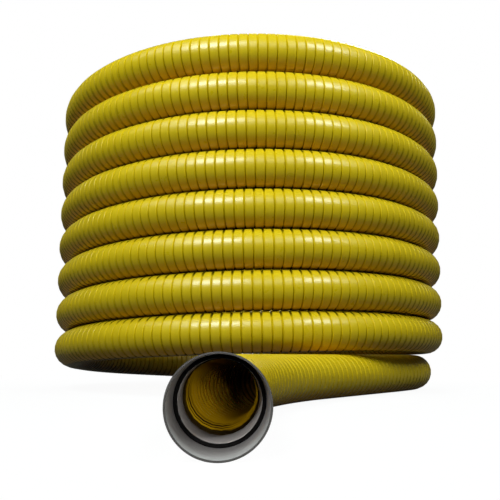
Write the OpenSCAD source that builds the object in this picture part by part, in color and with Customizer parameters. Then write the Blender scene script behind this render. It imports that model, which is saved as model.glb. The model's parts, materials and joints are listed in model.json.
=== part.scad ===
// Flexible underground duct: a coil of corrugated plastic duct that stands on end,
// with its free tail brought round to the front and a push-fit coupling on it.

/* [Duct] */
// Outside diameter of the duct, over its ribs
duct_od = 90; // [87:1:92]
// Depth of the duct's wall, from the top of its ribs to its bore
duct_wall = 4; // [3:0.5:15]

/* [Coil] */
// Radius that the duct's centre line is wound to
coil_radius = 488; // [400:1:600]
// Room between one turn and the next
turn_gap = 0.4; // [0.2:0.1:2]
// Quarter turns in the coil, above the first one
quarter_turns = 32; // [8:1:40]
// Radius of the first quarter turn, which lies on the ground
first_radius = 434; // [360:1:600]
// Angle that the coil leans back on its lowest turn
lean = 2.7; // [2:0.1:3.2]

/* [Tail] */
// Heading of the tail as it leaves the coil, from straight ahead
tail_heading = 38.5; // [25:0.5:50]
// Straight stretch where the tail leaves the coil
tail_straight = 375; // [100:5:800]
// Radius of the bend that brings the tail round to the front
tail_radius = 945; // [500:5:1400]

/* [Coupling] */
// Length of the duct's end that sits in the coupling
grip_length = 70; // [40:1:100]
// Room between the duct and the coupling round it
grip_clearance = 0.3; // [0.1:0.1:0.6]
// Length of the narrow collar that stops both ducts
collar_length = 65; // [30:1:90]
// Height of the step at each end of the collar that a duct's end meets
stop_height = 2.8; // [2:0.1:3.5]
// Depth of the free socket in front of the collar
socket_depth = 83; // [60:1:120]
// Room round a duct that is pushed into the free socket
socket_clearance = 1.6; // [0.5:0.1:3]
// Wall of the coupling round its free socket
coupling_wall = 2; // [1.5:0.1:6]

/* [Seal] */
// Width of the seal ring's section, along the socket
seal_width = 4.5; // [3:0.1:10]
// Depth of the groove that holds the seal ring
seal_groove = 0.8; // [0.3:0.1:1.2]
// Height that the seal ring leaves uncovered on the step behind it
seal_setback = 0.2; // [0:0.1:1]

/* [Hidden] */
$fn = 48;
duct_bore = duct_od - 2 * duct_wall;

// Straight link between one bend and the next, and what is taken off both its faces
link = 6;
relief = 0.3;
bend_radius = coil_radius - link / 2;
first_bend_radius = first_radius - link / 2;

// Tilt of each quarter bend's own plane, and the twist from one to the next, that give the coil its rise
pitch = duct_od + turn_gap;
bend_tilt = asin(pitch / 4 / (sqrt(2) * coil_radius));
twist = 2 * atan(tan(bend_tilt) / sqrt(2));
// Share of the coil's axis along the duct where two bends meet
axis_share = sin(bend_tilt) / sqrt(2);
// What the lean adds along the tail and across it
lean_along = sin(lean) * cos(tail_heading);
lean_across = sin(lean) * sin(tail_heading);
// Twist after the first quarter turn, and the tilt of that turn's own plane
first_twist = atan(axis_share / cos(bend_tilt)) + asin(lean_along);
first_rise = axis_share * sin(first_twist) + cos(bend_tilt) * cos(first_twist);
first_tilt = atan(axis_share / first_rise) - asin(lean_across);

// How far the thinner end of the duct in the coupling runs on inside the wall of the tail
end_root = 4;

socket_bore = duct_od + 2 * socket_clearance;
collar_bore = duct_od - 2 * stop_height;
coupling_od = socket_bore + 2 * coupling_wall;
coupling_length = socket_depth + collar_length + grip_length;
// How far a cutting cylinder runs past the face that it opens
overcut = 1;

// Where the coil's axis stands at the end of the first quarter turn, from the middle of the coupling's mouth
axis_x = tail_radius * (1 - cos(tail_heading)) + tail_straight * sin(tail_heading)
  - first_bend_radius * cos(tail_heading) + (first_bend_radius - bend_radius) * sin(tail_heading)
  - link / 2 * (cos(tail_heading) + sin(tail_heading));
axis_y = coupling_length + tail_radius * sin(tail_heading) + tail_straight * cos(tail_heading)
  + first_bend_radius * sin(tail_heading) + (first_bend_radius - bend_radius) * cos(tail_heading)
  - link / 2 * (cos(tail_heading) - sin(tail_heading));
// The coil reaches furthest back where its last turn passes the back, which the lean carries back
last_pass = quarter_turns / 4 - 1 + tail_heading / 360;
coil_back = axis_y + (coil_radius + duct_od / 2) * cos(lean) + sin(lean) * pitch * last_pass;

// Middle of the mouth: the coil's axis is at x = 0, the whole part is centred along y and rests on z = 0
mouth = [-axis_x, -coil_back / 2, coupling_od / 2];

// Cross-section of the duct's wall, with some taken off both its faces
module duct_section(thinned = 0) {
  difference() {
    circle(d = duct_od - 2 * thinned);
    circle(d = duct_bore + 2 * thinned);
  }
}

// Straight length of duct along +Y
module straight(length, thinned = 0) {
  rotate([-90, 0, 0]) linear_extrude(length) duct_section(thinned);
}

// Bend to the left, starting along +Y
module bend(radius, angle) {
  translate([-radius, 0, 0]) rotate_extrude(angle = angle) translate([radius, 0]) duct_section();
}

// Carries what follows to the far end of the tail's bend, which turns to the right
module past_tail_bend() {
  translate([tail_radius, 0, 0]) rotate([0, 0, -tail_heading]) translate([-tail_radius, 0, 0]) children();
}

// Carries what follows to the far end of a quarter bend and its link
module past_quarter(radius) {
  translate([-radius, 0, 0]) rotate([0, 0, 90]) translate([radius, link, 0]) children();
}

// A quarter bend to the left with its link
module quarter(radius) {
  bend(radius, 90);
  translate([-radius, 0, 0]) rotate([0, 0, 90]) translate([radius, 0, 0]) straight(link, relief);
}

// Carries what follows up the coil by a number of quarter turns
module up_coil(count) {
  if (count > 0) past_quarter(bend_radius) rotate([0, twist, 0]) up_coil(count - 1) children();
  else children();
}

// A run of quarter turns, each twisted a little against the one before
module coil(count) {
  half = floor(count / 2);
  if (count == 1) quarter(bend_radius);
  else {
    coil(half);
    up_coil(half) coil(count - half);
  }
}

// The whole duct, from its end in the coupling to the top of the coil
module duct() {
  color("gold")
  translate(mouth) translate([0, socket_depth + collar_length, 0]) {
    straight(grip_length + end_root, relief);
    translate([0, grip_length, 0]) past_tail_bend() {
      rotate([0, 0, 180]) bend(tail_radius, tail_heading);
      straight(tail_straight - link);
      translate([0, tail_straight - link, 0]) straight(link, relief);
      translate([0, tail_straight, 0]) rotate([0, first_tilt, 0]) {
        quarter(first_bend_radius);
        past_quarter(first_bend_radius) rotate([0, first_twist, 0]) coil(quarter_turns);
      }
    }
  }
}

// Sleeve with a socket at each end and a narrower collar between them
module coupling() {
  color("gray")
  translate(mouth) rotate([-90, 0, 0]) difference() {
    cylinder(d = coupling_od, h = coupling_length);
    translate([0, 0, -overcut]) cylinder(d = socket_bore, h = socket_depth + overcut);
    translate([0, 0, socket_depth - seal_width]) cylinder(d = socket_bore + 2 * seal_groove, h = seal_width);
    cylinder(d = collar_bore, h = coupling_length);
    translate([0, 0, socket_depth + collar_length])
      cylinder(d = duct_od + 2 * grip_clearance, h = grip_length + overcut);
  }
}

// Rubber ring in its groove at the bottom of the free socket, against the collar's step
module seal_ring() {
  color("black")
  translate(mouth) translate([0, socket_depth, 0]) rotate([90, 0, 0]) difference() {
    cylinder(d = socket_bore + 2 * seal_groove, h = seal_width);
    translate([0, 0, -overcut]) cylinder(d = collar_bore + 2 * seal_setback, h = seal_width + 2 * overcut);
  }
}

duct();
coupling();
seal_ring();
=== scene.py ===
"""Models a standing coil of flexible underground duct and the push-fit coupling on its free end."""

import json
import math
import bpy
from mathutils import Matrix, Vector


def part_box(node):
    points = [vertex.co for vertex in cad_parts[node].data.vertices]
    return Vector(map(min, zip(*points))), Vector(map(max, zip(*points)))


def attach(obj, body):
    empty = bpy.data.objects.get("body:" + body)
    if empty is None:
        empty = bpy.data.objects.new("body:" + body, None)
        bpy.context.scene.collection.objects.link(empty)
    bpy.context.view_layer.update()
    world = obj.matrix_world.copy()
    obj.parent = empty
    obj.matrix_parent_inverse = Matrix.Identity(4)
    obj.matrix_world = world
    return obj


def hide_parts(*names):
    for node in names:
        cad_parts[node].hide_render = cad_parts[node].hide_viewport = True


bl_info = {
    "name": "Flexible Underground Duct",
    "version": (1, 0, 0),
    "blender": (4, 5, 0),
    "location": "3D View > Sidebar > Duct",
    "description": "Models a coil of corrugated underground duct with a push-fit coupling on its free end",
    "category": "Object",
}

import bpy
from bpy.props import FloatProperty, FloatVectorProperty, IntProperty, PointerProperty
from mathutils import Matrix, Vector, geometry

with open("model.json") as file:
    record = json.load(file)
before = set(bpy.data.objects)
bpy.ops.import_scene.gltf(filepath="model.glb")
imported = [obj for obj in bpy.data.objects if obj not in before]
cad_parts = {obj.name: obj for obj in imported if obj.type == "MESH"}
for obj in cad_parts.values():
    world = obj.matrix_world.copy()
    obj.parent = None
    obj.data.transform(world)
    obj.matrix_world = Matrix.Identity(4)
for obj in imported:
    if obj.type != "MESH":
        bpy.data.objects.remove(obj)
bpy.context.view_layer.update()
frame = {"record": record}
BODY = "root"

COUPLING_LOW, COUPLING_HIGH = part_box("coupling")
SEAL_LOW, SEAL_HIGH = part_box("seal_ring")
DUCT_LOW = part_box("duct")[0]
SOCKET = next(m for m in frame["record"]["mounts"] if m["name"] == "socket")
# Middle of the coupling's mouth, from which its axis runs along +Y
MOUTH = Vector(
    ((COUPLING_LOW.x + COUPLING_HIGH.x) / 2, COUPLING_LOW.y, (COUPLING_LOW.z + COUPLING_HIGH.z) / 2)
)
# Radius of the seal ring's groove, and where the ring begins and ends behind the mouth
SEAL_RADIUS = (SEAL_HIGH.x - SEAL_LOW.x) / 2
SEAL_FRONT = SEAL_LOW.y - MOUTH.y
SEAL_BACK = SEAL_HIGH.y - MOUTH.y

# Points closer than this are joined: round a turned piece, from rib to rib, and where runs of ribs meet
TURNED_WELD = 1e-6
RIB_WELD = 1e-5
RUN_WELD = 5e-4
# A turned piece's edges are rounded from this angle on, in so many steps
ROUNDED_FROM = math.radians(25)
ROUNDING_STEPS = 3
# Edges up to this angle are shaded smooth
TURNED_SMOOTH = math.radians(40)
DUCT_SMOOTH = math.radians(30)
# The route's knots along the free tail, from behind the coupling to where it meets the coil
FREE_TAIL = slice(2, 5)
# What the rib map's v is raised by in the bore, to tell it from the outside
BORE_LAPS = 3

# Tints of the lamps, and the soft share of a snoot's beam
COOL = (0.862, 1.0, 1.0)
WHITE = (1.0, 1.0, 1.0)
WARM = (1.0, 0.85, 0.7)
BEAM_EDGE = 0.1


def length(name, description, default):
    """A size in metres."""
    return FloatProperty(
        name=name, description=description, default=default, min=0, precision=4, unit="LENGTH"
    )


def position(name, description, default):
    """A point in metres."""
    return FloatVectorProperty(name=name, description=description, default=default, unit="LENGTH")


def angle(name, description, degrees):
    """An angle, given in degrees and kept in radians."""
    return FloatProperty(name=name, description=description, default=math.radians(degrees), subtype="ANGLE")


def share(name, description, default):
    """A plain number, such as a share or a factor."""
    return FloatProperty(name=name, description=description, default=default)


def whole(name, description, default, least=1):
    """A whole number."""
    return IntProperty(name=name, description=description, default=default, min=least)


def colour(name, description, default):
    """A colour in linear light."""
    return FloatVectorProperty(name=name, description=description, default=default, size=3, subtype="COLOR")


class RouteSettings(bpy.types.PropertyGroup):
    """The line that the duct is laid along, from its end in the coupling to the top of the coil."""

    grip: length("Grip", "Length of the duct's end that sits in the coupling", 0.070)
    tail_radius: length("Tail radius", "Radius of the bend that brings the tail round to the front", 0.945)
    tail_heading: angle("Tail heading", "Heading of the tail as it leaves the coil, from straight on", 38.5)
    tail_straight: length("Tail straight", "Straight stretch where the tail leaves the coil", 0.375)
    tail_swell: share("Tail swell", "How much fuller the free tail is than the wound duct", 1.035)
    swell_share: share("Swell share", "Share of the bend over which the tail swells", 0.12)
    first_radius: length("First radius", "Radius of the first quarter turn, on the ground", 0.434)
    coil_radius: length("Coil radius", "Radius that the duct is wound to", 0.488)
    turn_gap: length("Turn gap", "Room between one turn and the next", 0.0004)
    link: length("Link", "Straight link between one quarter bend and the next", 0.006)
    lean: angle("Lean", "Angle that the coil leans back on its lowest turn", 2.7)
    quarter_turns: whole("Quarter turns", "Quarter turns above the first one", 32)
    steps: whole("Steps", "Steps along each piece of the line", 24)


class DuctSettings(bpy.types.PropertyGroup):
    """The duct's corrugated wall, its colours and the shade painted on it."""

    diameter: length("Diameter", "Outside diameter, over the ribs", 0.090)
    ribs_per_turn: whole("Ribs per turn", "Ribs in one turn of the coil", 153)
    groove_width: length("Groove width", "Width of the groove between two ribs, at its top", 0.0048)
    groove_depth: length("Groove depth", "Depth of the groove between two ribs", 0.0026)
    wall: length("Wall", "Thickness of the corrugated wall", 0.0011)
    plain_wall: length("Plain wall", "Wall under the grooves where the bore is plain, out of sight", 0.0024)
    sides: whole("Sides", "Faces round the duct", 22, 8)
    front_ribs: whole("Front ribs", "Ribs that show inside the tail's end", 20)
    back_ribs: whole("Back ribs", "Least number of ribs that show inside the coil's end", 8)
    plain_step: whole("Plain step", "Ribs to each face of the bore out of sight", 4)
    colour: colour("Colour", "Yellow of the plastic", (0.69, 0.476, 0.004))
    shade: colour("Shade", "Duller yellow that clouds the plastic", (0.65, 0.445, 0.004))
    # Painted shade and bounce light: a deeper orange mixed into the lower side of each turn, where the turn
    # below lights it warmly
    underside_shade: colour("Underside", "Deeper yellow that the sun has not bleached", (0.76, 0.42, 0.004))
    # Painted bounce light: the bore gets a deeper orange than the same plastic outside, in place of the
    # light bouncing round inside it
    bore_bounce: colour("Bore colour", "Deeper yellow of the bore", (0.72, 0.41, 0.003))
    # Painted shade: the dull brown that darkens the grooves, the low flanks and the ridges in the bore
    # stands in for their shade
    groove_shade: colour("Dust", "Dull brown of the dust in the grooves", (0.2, 0.14, 0.002))
    # Painted shade: the dark brown where turns touch and low on the lowest turn stands in for the shade
    # there
    contact_shade: colour("Grime", "Dark brown of the grime where turns touch", (0.05, 0.03, 0.001))
    # Painted shade: the blackish brown just inside the cut end stands in for the shadow of the coupling's
    # collar and of the bore's ridges
    bore_shade: colour("Silt", "Blackish brown of the silt just inside the cut end", (0.008, 0.005, 0.001))
    # Painted shade: where the shade painted in the low flanks' grooves begins and is darkest
    flank_near: length("Flank near", "Distance across from the coil's axis where its flanks begin", 0.2)
    flank_far: length("Flank far", "Distance across from the coil's axis where they are dirtiest", 0.42)
    # Painted shade: heights over which the shade painted on the lowest turn fades out, and ribs over which
    # the shade where turns touch fades in and out
    ground_shade_low: length("Damp low", "Height over the ground that damp has stained fully", 0.07)
    ground_shade_high: length("Damp high", "Height over the ground where the damp's stain ends", 0.13)
    contact_shade_fade: share("Grime fade", "Ribs over which the grime begins and ends along the duct", 9)
    # Painted shade: where the rings of shade inside the cut end lie and fade
    first_ring: share("First ring", "Ridges from the bore's end to a ring of silt", 1.85)
    rings_per_ridge: share("Rings per ridge", "Rings of silt to each ridge in the bore", 0.7)
    bore_shade_full: share("Silt full", "Ridges from the bore's end over which the rings are darkest", 5.6)
    bore_shade_end: share("Silt end", "Ridges from the bore's end where the rings have faded out", 7.0)


class CouplingSettings(bpy.types.PropertyGroup):
    """The push-fit sleeve."""

    collar_length: length("Collar length", "Length of the narrow collar that stops both ducts", 0.065)
    collar_radius: length("Collar radius", "Inside radius of the collar", 0.0422)
    grip_radius: length("Grip radius", "Inside radius of the socket that grips the tail", 0.0453)
    edge: length("Edge", "Rounding of the sleeve's edges", 0.00038)
    # Painted shade: the darker band round the sleeve's cut rim stands in for shade on the rim
    rim: length("Rim", "Depth of the darker band round the sleeve's cut rim", 0.0016)
    sides: whole("Sides", "Faces round the sleeve and the ring in it", 96, 12)
    colour: colour("Colour", "Grey of the sleeve", (0.23, 0.223, 0.22))
    # Painted shade: the dark grey painted on the cut rim in place of its shade
    rim_shade: colour("Rim colour", "Darker grey of the sleeve's cut rim", (0.03, 0.03, 0.03))


class SealSettings(bpy.types.PropertyGroup):
    """The rubber ring in the sleeve."""

    setback: length("Setback", "Height that the ring leaves uncovered on the collar's step", 0.0002)
    edge: length("Edge", "Rounding of the ring's edges", 0.0008)
    colour: colour("Colour", "Black of the rubber", (0.001, 0.001, 0.001))


class StageSettings(bpy.types.PropertyGroup):
    """The floor, the lamps and the camera."""

    camera_place: position("Camera place", "Where the camera stands", (-0.0516, -1.543, 0.0953))
    focal_length: FloatProperty(
        name="Focal length", description="Length of the camera's lens", default=48.3, unit="CAMERA"
    )
    sensor: FloatProperty(name="Sensor", description="Width of the sensor", default=36, unit="CAMERA")
    yaw: angle("Yaw", "Turn of the camera to the right", 3.72)
    pitch: angle("Pitch", "Tilt of the camera upwards", 5.28)
    roll: angle("Roll", "Turn of the camera about its own line of sight", 0.30)
    shift_x: share("Shift across", "Sideways shift of the picture", -0.0536)
    shift_y: share("Shift up", "Upward shift of the picture", 0.084)
    nearest: length("Nearest", "Nearest distance that the camera shows", 0.01)
    lamp_aim: position("Lamp aim", "Point that the softboxes face", (0, 0.1, 0.35))
    ambient: share("Ambient", "Strength of the light from all round", 0.035)
    ambient_colour: colour("Ambient colour", "Colour of the light from all round", (1.0, 0.95, 0.8))
    mirrored: share("Mirrored", "Share of the white background in the gloss", 0.02)
    floor_size: length("Floor size", "Side of the floor", 60.0)
    floor_colour: colour("Floor colour", "Colour of the floor's paper", (0.85, 0.85, 0.85))
    floor_bounce: colour("Floor bounce", "Colour of the light that the floor sends back", (0.08, 0.07, 0.05))
    floor_glow: share("Floor glow", "Share of plain white in the floor near the object", 0.95)
    shadow_near: length("Shadow near", "Distance from the origin where shadows begin to fade", 0.5)
    shadow_far: length("Shadow far", "Distance from the origin where the floor is plain white", 1.4)


def select_only(obj):
    """Makes one object the selected and active one, out of edit mode."""
    bpy.ops.object.select_all(action="DESELECT")
    obj.select_set(True)
    bpy.context.view_layer.objects.active = obj


def apply_modifiers(obj):
    """Applies an object's modifiers from the top down."""
    select_only(obj)
    for name in [m.name for m in obj.modifiers]:
        bpy.ops.object.modifier_apply(modifier=name)


def new_ring(name, radius, sides, axis, place=(0, 0, 0)):
    """A ring of edges about the X or the Y axis, left in edit mode with all of it selected."""
    turn = (math.pi / 2, 0, math.pi / 2) if axis == "X" else (math.pi / 2, 0, 0)
    bpy.ops.object.select_all(action="DESELECT")
    bpy.ops.mesh.primitive_circle_add(
        vertices=sides, radius=radius, calc_uvs=False, location=place, rotation=turn
    )
    ring = bpy.context.object
    ring.name = name
    ring.data.name = name
    bpy.ops.object.transform_apply(location=True, rotation=True, scale=True)
    bpy.ops.object.mode_set(mode="EDIT")
    bpy.ops.mesh.select_all(action="SELECT")
    return ring


def draw_out(outline, axis, middle):
    """Extrudes the selected ring along its axis through an outline of (radius, distance) corners."""
    along = Vector((1, 0, 0)) if axis == "X" else Vector((0, 1, 0))
    for (radius, start), (next_radius, end) in zip(outline, outline[1:]):
        bpy.ops.mesh.extrude_region_move(TRANSFORM_OT_translate={"value": along * (end - start)})
        factor = next_radius / radius
        across = (1, factor, factor) if axis == "X" else (factor, 1, factor)
        bpy.ops.transform.resize(value=across, center_override=middle + along * end)


def wrap_ribs(obj, pitch, middle, inside):
    """Adds a UV map whose u counts grooves from the first one's middle and whose v goes once round."""
    mesh = obj.data
    layer = mesh.uv_layers.new(name="Rib")
    for face in mesh.polygons:
        turns = [math.atan2(mesh.vertices[i].co.z, mesh.vertices[i].co.y) / math.tau for i in face.vertices]
        for loop, vertex, turn in zip(face.loop_indices, face.vertices, turns):
            along = (mesh.vertices[vertex].co.x - middle) / pitch
            wrapped = turn + 1 if max(turns) - turn > 0.5 else turn
            layer.data[loop].uv = (along, wrapped + BORE_LAPS * inside)


def rib_run(name, outline, sides, count, start):
    """A straight run of like ribs along +X, each with one outline of (radius, distance) corners."""
    run = new_ring(name, outline[0][0], sides, "X")
    draw_out(outline, "X", Vector())
    bpy.ops.object.mode_set(mode="OBJECT")
    array = run.modifiers.new("Ribs", "ARRAY")
    array.count = count
    array.use_relative_offset = False
    array.use_constant_offset = True
    array.constant_offset_displace = (outline[-1][1], 0, 0)
    array.use_merge_vertices = True
    array.merge_threshold = RIB_WELD
    apply_modifiers(run)
    run.location.x = start
    bpy.ops.object.transform_apply(location=True, rotation=True, scale=True)
    return run


class Route:
    """A line drawn piece by piece, kept as the knots of a Bezier curve."""

    def __init__(self, start):
        self.place = Matrix.Translation(start)
        self.points = [start.copy()]
        self.before = [start.copy()]
        self.after = []

    def advance(self, move, handle):
        """Goes on by a move in the line's own frame, with handles of one length at both ends."""
        heading = self.place.col[1].to_3d()
        self.after.append(self.points[-1] + heading * handle)
        self.place = self.place @ move
        point = self.place.to_translation()
        self.before.append(point - self.place.col[1].to_3d() * handle)
        self.points.append(point)

    def straight(self, distance):
        """Goes straight ahead."""
        self.advance(Matrix.Translation((0, distance, 0)), distance / 3)

    def bend(self, radius, turn):
        """Bends to the left, or to the right where both numbers are negative."""
        back = Matrix.Translation((-radius, 0, 0))
        move = back @ Matrix.Rotation(turn, 4, "Z") @ back.inverted()
        self.advance(move, radius * math.tan(turn / 4) * 4 / 3)

    def twist(self, turn):
        """Turns the line's own frame about its heading."""
        self.place = self.place @ Matrix.Rotation(turn, 4, "Y")

    def line(self, steps):
        """Points along the line, with so many steps to each piece of it."""
        points = [self.points[0]]
        for i in range(len(self.after)):
            knots = (self.points[i], self.after[i], self.before[i + 1], self.points[i + 1])
            points += geometry.interpolate_bezier(*knots, steps + 1)[1:]
        return points


def lay_route(route, diameter):
    """The duct's centre line: straight out of the coupling, round the tail's bend and up the coil."""
    bend_radius = route.coil_radius - route.link / 2
    first_bend_radius = route.first_radius - route.link / 2
    pitch = diameter + route.turn_gap
    # Tilt of each quarter bend's own plane, and the twist from one to the next, that give the coil its rise
    bend_tilt = math.asin(pitch / 4 / (math.sqrt(2) * route.coil_radius))
    twist = 2 * math.atan(math.tan(bend_tilt) / math.sqrt(2))
    axis_share = math.sin(bend_tilt) / math.sqrt(2)
    # What the lean adds along the tail and across it
    lean_along = math.sin(route.lean) * math.cos(route.tail_heading)
    lean_across = math.sin(route.lean) * math.sin(route.tail_heading)
    first_twist = math.atan(axis_share / math.cos(bend_tilt)) + math.asin(lean_along)
    first_rise = axis_share * math.sin(first_twist) + math.cos(bend_tilt) * math.cos(first_twist)
    first_tilt = math.atan(axis_share / first_rise) - math.asin(lean_across)

    line = Route(Vector((MOUTH.x, DUCT_LOW.y, MOUTH.z)))
    line.straight(route.grip)
    for part in (route.swell_share, 1 - route.swell_share):
        line.bend(-route.tail_radius, -route.tail_heading * part)
    line.straight(route.tail_straight)
    line.twist(first_tilt)
    line.bend(first_bend_radius, math.pi / 2)
    line.straight(route.link)
    line.twist(first_twist)
    for _ in range(route.quarter_turns):
        line.bend(bend_radius, math.pi / 2)
        line.straight(route.link)
        line.twist(twist)
    return line


def draw_curve(name, route, steps, swell):
    """A Bezier curve object through a route's knots, fuller along the free tail."""
    data = bpy.data.curves.new(name, "CURVE")
    data.dimensions = "3D"
    data.twist_mode = "Z_UP"
    data.resolution_u = steps
    spline = data.splines.new("BEZIER")
    spline.bezier_points.add(len(route.points) - 1)
    after = route.after + [route.points[-1]]
    for knot, point, before, ahead in zip(spline.bezier_points, route.points, route.before, after):
        knot.handle_left_type = "FREE"
        knot.handle_right_type = "FREE"
        knot.co = point
        knot.handle_left = before
        knot.handle_right = ahead
    for knot in spline.bezier_points[FREE_TAIL]:
        knot.radius = swell
    curve = bpy.data.objects.new(name, data)
    bpy.context.collection.objects.link(curve)
    return curve


class Finish:
    """A material under construction, with short words for its nodes and links."""

    def __init__(self, name, owner=None):
        self.material = owner or bpy.data.materials.new(name)
        self.material.use_nodes = True
        self.nodes = self.material.node_tree.nodes
        self.links = self.material.node_tree.links

    def node(self, kind, inputs=None, **settings):
        """Adds a node, with values or links for its inputs."""
        made = self.nodes.new("ShaderNode" + kind)
        for key, value in settings.items():
            setattr(made, key, value)
        for key, value in (inputs or {}).items():
            if isinstance(value, bpy.types.NodeSocket):
                self.links.new(value, made.inputs[key])
            else:
                made.inputs[key].default_value = value
        return made

    def noise(self, scale, detail):
        """A noise over the piece's own coordinates."""
        inputs = {"Vector": self.node("TexCoord").outputs["Object"], "Scale": scale, "Detail": detail}
        return self.node("TexNoise", inputs).outputs["Fac"]

    def parts(self, coordinates):
        """The X, Y and Z of a point, in one kind of coordinates."""
        return self.node("SeparateXYZ", {"Vector": self.node("TexCoord").outputs[coordinates]}).outputs

    def between(self, value, low, high, start=0.0, end=1.0, ease="LINEAR"):
        """Runs from low to high, and no further, as a value goes from a start to an end."""
        inputs = {"Value": value, "From Min": start, "From Max": end, "To Min": low, "To Max": high}
        return self.node("MapRange", inputs, interpolation_type=ease).outputs["Result"]

    def math(self, operation, first, second=0.0):
        """Arithmetic on one value or two."""
        return self.node("Math", {0: first, 1: second}, operation=operation).outputs["Value"]

    def both(self, first, second):
        """Where two shares meet, as their product."""
        return self.math("MULTIPLY", first, second)

    def either(self, first, second):
        """Where either of two shares is, as the greater one."""
        return self.math("MAXIMUM", first, second)

    def mixed(self, factor, first, second):
        """A mix of two colours."""
        made = self.node("Mix", data_type="RGBA")
        self.links.new(factor, made.inputs["Factor"])
        for key, value in (("A", first), ("B", second)):
            socket = next(s for s in made.inputs if s.name == key and s.type == "RGBA")
            if isinstance(value, bpy.types.NodeSocket):
                self.links.new(value, socket)
            else:
                socket.default_value = (*value, 1)
        return next(s for s in made.outputs if s.type == "RGBA")

    def bump(self, height, distance):
        """A bump of so many metres."""
        inputs = {"Height": height, "Distance": distance, "Strength": 1.0}
        return self.node("Bump", inputs).outputs["Normal"]

    def join(self, **sockets):
        """Links or sets the surface's own sockets."""
        for key, value in sockets.items():
            socket = self.nodes["Principled BSDF"].inputs[key.replace("_", " ")]
            if isinstance(value, bpy.types.NodeSocket):
                self.links.new(value, socket)
            else:
                socket.default_value = value


class RibFinish(Finish):
    """The duct's material, with what its rib map tells of each point.

    Distances along the duct are counted in ribs, and so is half a groove's width.
    """

    def __init__(self, name, duct, groove):
        super().__init__(name)
        self.duct = duct
        self.groove = groove
        self.place = self.parts("Object")
        rib = self.parts("UV")
        # From the first groove along the duct, and from the nearest groove's middle
        self.along = rib["X"]
        self.edge = self.math("PINGPONG", rib["X"], 0.5)
        # Upwards and to the left across the duct, each from -1 to 1
        turn = self.math("MULTIPLY", rib["Y"], math.tau)
        self.height = self.math("SINE", turn)
        self.left = self.math("COSINE", turn)
        # Whether a point is in the bore
        self.within = self.between(rib["Y"], 0.0, 1.0, BORE_LAPS - 1.5, BORE_LAPS - 1.0)

    def by_groove(self, most, near, far):
        """A share that is full near a groove's middle and gone further out, in half widths of a groove."""
        return self.between(self.edge, most, 0.0, self.groove * near, self.groove * far)

    def groove_shade(self):
        """Painted shade in the grooves, darker low on each turn, and on the ridges in the bore."""
        by_height = self.between(self.height, 1.0, 0.4, -0.2, 0.4)
        grooves = self.both(by_height, self.by_groove(0.55, 0.3, 0.7))
        ridges = self.both(self.within, self.by_groove(0.8, 1.0, 2.4))
        # Painted shade: the grooves are darkest low on both flanks of the coil
        across = self.math("ABSOLUTE", self.place["X"])
        flank = self.between(across, 0.0, 1.0, self.duct.flank_near, self.duct.flank_far)
        low_flank = self.both(flank, self.between(self.height, 1.0, 0.0, -0.35, 0.15))
        flanks = self.both(low_flank, self.by_groove(0.8, 0.9, 2.2))
        return self.either(flanks, self.either(grooves, ridges))

    def contact_shade(self, tail, top):
        """Painted shade where turns touch, over and under the duct, and low on the lowest turn, from the
        tail to the top turn.
        """
        above = self.between(self.height, 0.0, 0.9, 0.66, 0.9, "SMOOTHSTEP")
        below = self.between(self.height, 0.9, 0.0, -0.98, -0.9, "SMOOTHSTEP")
        notches = self.both(self.either(above, below), self.by_groove(1.0, 0.8, 1.5))
        seam = self.between(self.height, 0.85, 0.0, -0.985, -0.92, "SMOOTHSTEP")
        # Painted shade low on the lowest turn, near the ground, on its side towards the coil's eye
        low = self.between(self.place["Z"], 0.8, 0.0, self.duct.ground_shade_low, self.duct.ground_shade_high)
        ground_shade = self.both(low, self.between(self.left, 0.0, 1.0, -0.4, 0.3))
        fade = self.duct.contact_shade_fade
        past_tail = self.between(self.along, 0.0, 1.0, tail, tail + fade)
        under_top = self.between(self.along, 1.0, 0.0, top, top + fade)
        return self.both(self.both(past_tail, under_top), self.either(ground_shade, self.either(notches, seam)))

    def bore_shade(self):
        """Painted shade in rings low on the left, just inside the cut end, and round the whole cut end."""
        low_left = self.between(self.math("SUBTRACT", self.left, self.height), 0.0, 1.0, 0.2, 0.9)
        # Ridges climbed from the cut end, counting only the slopes that face it
        reach = self.math("ADD", self.along, self.groove)
        ridge = self.math("FLOOR", reach)
        slope = self.between(self.math("SUBTRACT", reach, ridge), 0.0, 1.0, 0.0, self.groove)
        climbed = self.math("ADD", ridge, slope)
        past_ring = self.math("SUBTRACT", climbed, self.duct.first_ring)
        ring = self.math("PINGPONG", self.math("MULTIPLY", past_ring, self.duct.rings_per_ridge), 0.5)
        reached = self.between(climbed, 1.0, 0.0, self.duct.bore_shade_full, self.duct.bore_shade_end)
        rings = self.both(self.between(ring, 1.0, 0.0, 0.2, 0.3), reached)
        fading_shade = self.between(climbed, 0.5, 0.0, 1.0, 6.0)
        bore_shadows = self.both(self.within, self.both(low_left, self.either(rings, fading_shade)))
        return self.either(bore_shadows, self.between(self.along, 1.0, 0.0, 0.94, 0.98))


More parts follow.
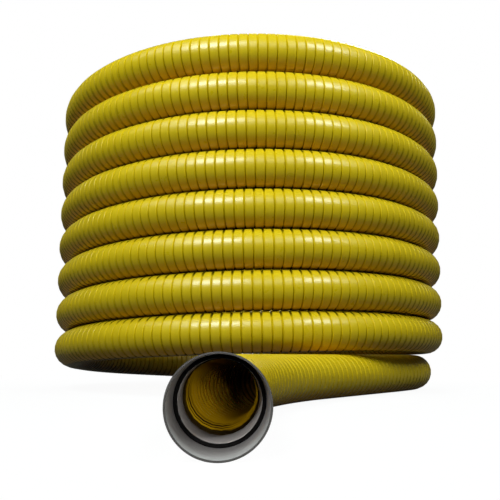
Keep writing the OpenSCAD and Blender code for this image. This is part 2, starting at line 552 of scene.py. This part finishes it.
def duct_plastic(duct, groove, tail, top):
    """Satin yellow plastic, with painted shade and bounce light underneath, in the bore, in the grooves,
    where turns touch and at the cut end.
    """
    finish = RibFinish("duct_plastic", duct, groove)
    clouds = finish.between(finish.noise(7.0, 4.0), 0.0, 1.0, 0.35, 0.68)
    plain = finish.mixed(clouds, duct.colour, duct.shade)
    # Painted shade and bounce light: the lower side of each turn is mixed towards a deeper orange
    shaded = finish.between(finish.height, 1.0, 0.0, -0.85, -0.45)
    outside = finish.mixed(shaded, plain, duct.underside_shade)
    # Painted bounce light: the bore is mixed to its deeper orange
    toned = finish.mixed(finish.within, outside, duct.bore_bounce)
    # Painted shade in the grooves, on the flanks and on the bore's ridges
    groove_shaded = finish.mixed(finish.groove_shade(), toned, duct.groove_shade)
    # Painted shade where turns touch and low on the lowest turn
    contact_shaded = finish.mixed(finish.contact_shade(tail, top), groove_shaded, duct.contact_shade)
    # Painted shade in rings inside the cut end and round the cut end
    finish.join(Base_Color=finish.mixed(finish.bore_shade(), contact_shaded, duct.bore_shade))

    gloss = finish.between(finish.noise(55.0, 3.0), 0.27, 0.33, 0.3, 0.7)
    finish.join(Roughness=finish.either(gloss, finish.by_groove(0.7, 0.7, 1.1)))
    finish.join(Normal=finish.bump(finish.noise(420.0, 2.0), 0.000012))
    finish.join(Specular_IOR_Level=finish.between(finish.edge, 0.0, 0.5, groove * 0.7, groove * 1.1))
    finish.join(IOR=1.58)
    return finish.material


def coupling_plastic(coupling):
    """Grey moulded plastic with a fine grain, faint clouding and painted shade, a darker band, round its
    mouth's rim.
    """
    finish = Finish("coupling_plastic")
    clouds = finish.between(finish.noise(30.0, 4.0), 0.0, 1.0, 0.3, 0.7)
    plain = finish.mixed(clouds, coupling.colour, [c * 0.9 for c in coupling.colour])
    along = finish.parts("Object")["Y"]
    # Painted shade: a dark band round the mouth's cut rim, with less gloss
    rim = finish.between(along, 1.0, 0.0, MOUTH.y + coupling.rim * 0.6, MOUTH.y + coupling.rim)
    finish.join(Base_Color=finish.mixed(rim, plain, coupling.rim_shade))
    finish.join(Roughness=finish.between(finish.noise(140.0, 3.0), 0.38, 0.5, 0.3, 0.7))
    finish.join(Normal=finish.bump(finish.noise(900.0, 2.0), 0.00003))
    finish.join(Specular_IOR_Level=finish.between(rim, 0.5, 0.05))
    finish.join(IOR=1.5)
    return finish.material


def seal_rubber(seal):
    """Matt black rubber with faint clouding."""
    finish = Finish("seal_rubber")
    clouds = finish.between(finish.noise(60.0, 3.0), 0.0, 1.0, 0.3, 0.7)
    finish.join(Base_Color=finish.mixed(clouds, seal.colour, [c * 1.6 for c in seal.colour]))
    finish.join(Roughness=finish.between(finish.noise(200.0, 2.0), 0.7, 0.85, 0.3, 0.7))
    finish.join(Normal=finish.bump(finish.noise(1500.0, 2.0), 0.00004))
    finish.join(Specular_IOR_Level=0.02)
    return finish.material


def finish_piece(piece, material, node):
    """Gives a finished piece its material, and lets it stand for its node."""
    piece.data.materials.clear()
    piece.data.materials.append(material)
    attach(piece, BODY)
    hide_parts(node)


def turned(name, outline, sides, edge):
    """A ring about the coupling's axis with an outline of (radius, depth) corners and rounded edges."""
    radius, depth = outline[0]
    piece = new_ring(name, radius, sides, "Y", MOUTH + Vector((0, depth, 0)))
    draw_out([*outline, outline[0]], "Y", MOUTH)
    bpy.ops.mesh.select_all(action="SELECT")
    bpy.ops.mesh.remove_doubles(threshold=TURNED_WELD)
    bpy.ops.mesh.normals_make_consistent(inside=False)
    bpy.ops.object.mode_set(mode="OBJECT")
    bevel = piece.modifiers.new("Edges", "BEVEL")
    bevel.width = edge
    bevel.segments = ROUNDING_STEPS
    bevel.limit_method = "ANGLE"
    bevel.angle_limit = ROUNDED_FROM
    apply_modifiers(piece)
    bpy.ops.object.shade_smooth_by_angle(angle=TURNED_SMOOTH)
    return piece


class DUCT_OT_mould_coupling(bpy.types.Operator):
    """Mould the grey sleeve on the duct's free end"""

    bl_idname = "duct.mould_coupling"
    bl_label = "Mould Coupling"

    def execute(self, context):
        coupling = context.scene.coupling
        outside = (COUPLING_HIGH.x - COUPLING_LOW.x) / 2
        depth = COUPLING_HIGH.y - COUPLING_LOW.y
        bore = SOCKET["dims"]["r_mm"] / 1000
        collar_back = SEAL_BACK + coupling.collar_length
        outline = [
            (outside, 0),
            (outside, depth),
            (coupling.grip_radius, depth),
            (coupling.grip_radius, collar_back),
            (coupling.collar_radius, collar_back),
            (coupling.collar_radius, SEAL_BACK),
            (SEAL_RADIUS, SEAL_BACK),
            (SEAL_RADIUS, SEAL_FRONT),
            (bore, SEAL_FRONT),
            (bore, 0),
        ]
        piece = turned("coupling_sleeve", outline, coupling.sides, coupling.edge)
        finish_piece(piece, coupling_plastic(coupling), "coupling")
        return {"FINISHED"}


class DUCT_OT_fit_seal_ring(bpy.types.Operator):
    """Fit the rubber ring at the bottom of the coupling's free socket"""

    bl_idname = "duct.fit_seal_ring"
    bl_label = "Fit Seal Ring"

    def execute(self, context):
        coupling, seal = context.scene.coupling, context.scene.seal_ring
        lip = coupling.collar_radius + seal.setback
        outline = [(SEAL_RADIUS, SEAL_FRONT), (SEAL_RADIUS, SEAL_BACK), (lip, SEAL_BACK), (lip, SEAL_FRONT)]
        piece = turned("seal_lip_ring", outline, coupling.sides, seal.edge)
        finish_piece(piece, seal_rubber(seal), "seal_ring")
        return {"FINISHED"}


def corrugated_tube(name, duct, distance, pitch):
    """A straight corrugated tube along +X with its rib map, made of runs that are joined end to end."""
    whole_ribs = int(distance / pitch)
    # The duct is cut off in a rib at its front end, where what is left over from whole ribs lies
    cuff = distance - whole_ribs * pitch

    crest = duct.diameter / 2
    floor = crest - duct.groove_depth
    outline = [(crest, 0), (floor, duct.groove_width / 2), (crest, duct.groove_width), (crest, pitch)]
    inside = [(radius - duct.wall, along) for radius, along in outline]
    within = crest - duct.wall
    narrow = floor - duct.plain_wall
    plain = [(narrow, 0), (narrow, pitch * duct.plain_step)]
    rim = [(crest, 0), (within, 0)]
    step = [(within, 0), (narrow, 0)]
    # The bore out of sight has whole plain faces, and the ribs behind them take up what is left
    plain_faces = (whole_ribs - duct.front_ribs - duct.back_ribs) // duct.plain_step
    back_ribs = whole_ribs - duct.front_ribs - plain_faces * duct.plain_step
    plain_start = cuff + duct.front_ribs * pitch
    back_start = distance - back_ribs * pitch

    sides = duct.sides
    tube = rib_run(name, outline, sides, whole_ribs, cuff)
    skins = [
        tube,
        rib_run("front_cuff", [(crest, 0), (crest, cuff)], sides, 1, 0),
        rib_run("front_rim", rim, sides, 1, 0),
        rib_run("back_rim", rim, sides, 1, distance),
    ]
    bores = [
        rib_run("cuff_bore", [(within, 0), (within, cuff)], sides, 1, 0),
        rib_run("front_bore", inside, sides, duct.front_ribs, cuff),
        rib_run("front_step", step, sides, 1, plain_start),
        rib_run("plain_bore", plain, sides, plain_faces, plain_start),
        rib_run("back_step", step, sides, 1, back_start),
        rib_run("back_bore", inside, sides, back_ribs, back_start),
    ]
    for run in skins + bores:
        wrap_ribs(run, pitch, cuff + duct.groove_width / 2, run in bores)
    select_only(tube)
    for run in skins + bores:
        run.select_set(True)
    bpy.ops.object.join()
    bpy.ops.object.mode_set(mode="EDIT")
    bpy.ops.mesh.select_all(action="SELECT")
    bpy.ops.mesh.remove_doubles(threshold=RUN_WELD)
    bpy.ops.mesh.normals_make_consistent(inside=False)
    bpy.ops.object.mode_set(mode="OBJECT")
    return tube


class DUCT_OT_lay_duct(bpy.types.Operator):
    """Lay the corrugated duct along its route, from the coupling to the top of the coil"""

    bl_idname = "duct.lay_duct"
    bl_label = "Lay Duct"

    def execute(self, context):
        duct, route = context.scene.duct, context.scene.duct_route
        line = lay_route(route, duct.diameter)
        path = line.line(route.steps)
        distance = sum((b - a).length for a, b in zip(path, path[1:]))
        turn_length = math.tau * (route.coil_radius - route.link / 2) + 4 * route.link
        pitch = turn_length / duct.ribs_per_turn
        tube = corrugated_tube("duct_corrugated", duct, distance, pitch)

        curve = draw_curve("duct_route", line, route.steps, route.tail_swell)
        bent = tube.modifiers.new("Route", "CURVE")
        bent.object = curve
        bent.deform_axis = "POS_X"
        apply_modifiers(tube)
        bpy.data.objects.remove(curve)
        bpy.ops.object.shade_smooth_by_angle(angle=DUCT_SMOOTH)

        # Half a groove's width, the ribs in the tail and those below the top turn
        groove = duct.groove_width / 2 / pitch
        tail = (route.grip + route.tail_radius * route.tail_heading + route.tail_straight) / pitch
        top = int(distance / pitch) - duct.ribs_per_turn
        finish_piece(tube, duct_plastic(duct, groove, tail, top), "duct")
        return {"FINISHED"}


def lamp(kind, name, stand, aim, watts, tint):
    """A lamp that stands at one point and faces another."""
    facing = (Vector(aim) - Vector(stand)).to_track_quat("-Z", "Y")
    bpy.ops.object.light_add(type=kind, location=stand, rotation=facing.to_euler())
    made = bpy.context.object
    made.name = name
    made.data.energy = watts
    made.data.color = tint
    return made.data


def softbox(name, stand, aim, size, watts):
    """A broad lamp with a cool tint."""
    light = lamp("AREA", name, stand, aim, watts, COOL)
    light.shape = "RECTANGLE"
    light.size, light.size_y = size


def snoot(name, stand, beam, bulb, watts, tint=WARM):
    """A lamp whose narrow beam, in degrees, goes into the coupling's mouth."""
    light = lamp("SPOT", name, stand, MOUTH, watts, tint)
    light.spot_size = math.radians(beam)
    light.spot_blend = BEAM_EDGE
    light.shadow_soft_size = bulb


def seen_share(finish, mirrored):
    """How much of the white background a ray meets: all for the camera and through glass, less in gloss."""
    rays = finish.node("LightPath").outputs
    straight = finish.either(rays["Is Camera Ray"], rays["Is Transmission Ray"])
    return finish.either(straight, finish.both(rays["Is Glossy Ray"], mirrored))


def studio_world(stage):
    """White behind the object, and a dim even light from all round."""
    world = bpy.data.worlds.new("studio")
    finish = Finish("studio", world)
    dim = finish.nodes["Background"]
    dim.inputs["Color"].default_value = (*stage.ambient_colour, 1)
    dim.inputs["Strength"].default_value = stage.ambient
    white = finish.node("Background", {"Color": (1, 1, 1, 1), "Strength": 1.0})
    mix = finish.node("MixShader", {"Fac": seen_share(finish, stage.mirrored)})
    finish.links.new(dim.outputs["Background"], mix.inputs[1])
    finish.links.new(white.outputs["Background"], mix.inputs[2])
    finish.links.new(mix.outputs["Shader"], finish.nodes["World Output"].inputs["Surface"])
    return world


def floor_paper(stage):
    """Pale paper that keeps a soft shadow near the object and fades to white away from it."""
    finish = Finish("floor_paper")
    finish.nodes.remove(finish.nodes["Principled BSDF"])
    point = finish.node("TexCoord").outputs["Object"]
    far = finish.node("VectorMath", {0: point}, operation="LENGTH").outputs["Value"]
    white = finish.between(far, stage.floor_glow, 1.0, stage.shadow_near, stage.shadow_far, "SMOOTHSTEP")
    seen = seen_share(finish, stage.mirrored)
    shown = finish.mixed(seen, stage.floor_bounce, stage.floor_colour)
    paper = finish.node("BsdfDiffuse", {"Color": shown})
    glow = finish.node("Emission", {"Color": (1, 1, 1, 1), "Strength": 1.0})
    mix = finish.node("MixShader", {"Fac": finish.both(seen, white)})
    finish.links.new(paper.outputs["BSDF"], mix.inputs[1])
    finish.links.new(glow.outputs["Emission"], mix.inputs[2])
    finish.links.new(mix.outputs["Shader"], finish.nodes["Material Output"].inputs["Surface"])
    return finish.material


class DUCT_OT_set_stage(bpy.types.Operator):
    """Set the floor, the lamps and the camera"""

    bl_idname = "duct.set_stage"
    bl_label = "Set Stage"

    def execute(self, context):
        stage = context.scene.duct_stage
        scene = context.scene
        scene.view_settings.view_transform = "Standard"
        scene.world = studio_world(stage)

        bpy.ops.object.select_all(action="DESELECT")
        bpy.ops.mesh.primitive_plane_add(size=stage.floor_size, location=(0, 0, 0))
        floor = context.object
        floor.name = "floor"
        floor.data.materials.append(floor_paper(stage))

        aim = stage.lamp_aim
        softbox("left_softbox", (-0.95, -1.75, 2.35), aim, size=(1.25, 1.0), watts=56)
        softbox("right_softbox", (1.4, -1.35, 2.35), aim, size=(0.9, 1.0), watts=36)
        softbox("left_bank", (-1.7, -0.7, 3.1), aim, size=(2.0, 1.4), watts=18)
        softbox("right_bank", (1.9, -0.6, 3.1), aim, size=(2.0, 1.4), watts=4)
        softbox("front_bank", (-0.1, -2.4, 2.2), aim, size=(3.0, 1.2), watts=16)
        softbox("back_softbox", (0.5, 2.6, 2.5), aim, size=(1.6, 1.2), watts=70)
        snoot("left_snoot", (-0.35, -1.9, 0.55), beam=5.6, bulb=0.03, watts=72, tint=WHITE)
        snoot("upper_snoot", (-0.275, -2.14, 0.3), beam=5.0, bulb=0.05, watts=24)
        snoot("right_snoot", (0.25, -2.1, 0.34), beam=5.0, bulb=0.1, watts=145, tint=WHITE)
        snoot("inner_snoot", (0.1, -2.15, 0.2), beam=5.0, bulb=0.07, watts=44)
        snoot("deep_snoot", (0.05, -2.2, 0.15), beam=5.0, bulb=0.05, watts=18)
        snoot("far_snoot", (-0.25, -2.2, 0.15), beam=5.0, bulb=0.05, watts=6)

        turn = (
            Matrix.Rotation(-stage.yaw, 3, "Z")
            @ Matrix.Rotation(math.pi / 2 + stage.pitch, 3, "X")
            @ Matrix.Rotation(stage.roll, 3, "Z")
        )
        bpy.ops.object.camera_add(location=stage.camera_place, rotation=turn.to_euler())
        camera = context.object
        camera.name = "camera"
        camera.data.lens = stage.focal_length
        camera.data.sensor_width = stage.sensor
        camera.data.shift_x = stage.shift_x
        camera.data.shift_y = stage.shift_y
        camera.data.clip_start = stage.nearest
        scene.camera = camera
        return {"FINISHED"}


class DUCT_PT_panel(bpy.types.Panel):
    """Sidebar panel with the duct's sizes and steps"""

    bl_idname = "DUCT_PT_panel"
    bl_label = "Underground Duct"
    bl_space_type = "VIEW_3D"
    bl_region_type = "UI"
    bl_category = "Duct"

    def draw(self, context):
        for step, owners in STEPS:
            box = self.layout.box()
            for owner in owners:
                settings = getattr(context.scene, owner)
                for name in SETTINGS[owner].__annotations__:
                    box.prop(settings, name)
            box.operator(step.bl_idname)


# Where a scene keeps each group of settings
SETTINGS = {
    "duct_route": RouteSettings,
    "duct": DuctSettings,
    "coupling": CouplingSettings,
    "seal_ring": SealSettings,
    "duct_stage": StageSettings,
}
# The steps in order, each with the settings that the panel lists over its button
STEPS = (
    (DUCT_OT_mould_coupling, ["coupling"]),
    (DUCT_OT_fit_seal_ring, ["seal_ring"]),
    (DUCT_OT_lay_duct, ["duct_route", "duct"]),
    (DUCT_OT_set_stage, ["duct_stage"]),
)


def register():
    for name, group in SETTINGS.items():
        bpy.utils.register_class(group)
        setattr(bpy.types.Scene, name, PointerProperty(type=group))
    for step, _ in STEPS:
        bpy.utils.register_class(step)
    bpy.utils.register_class(DUCT_PT_panel)


def unregister():
    bpy.utils.unregister_class(DUCT_PT_panel)
    for step, _ in reversed(STEPS):
        bpy.utils.unregister_class(step)
    for name, group in SETTINGS.items():
        delattr(bpy.types.Scene, name)
        bpy.utils.unregister_class(group)


def main():
    register()
    bpy.ops.duct.mould_coupling()
    bpy.ops.duct.fit_seal_ring()
    bpy.ops.duct.lay_duct()
    bpy.ops.duct.set_stage()


if __name__ == "__main__":
    main()
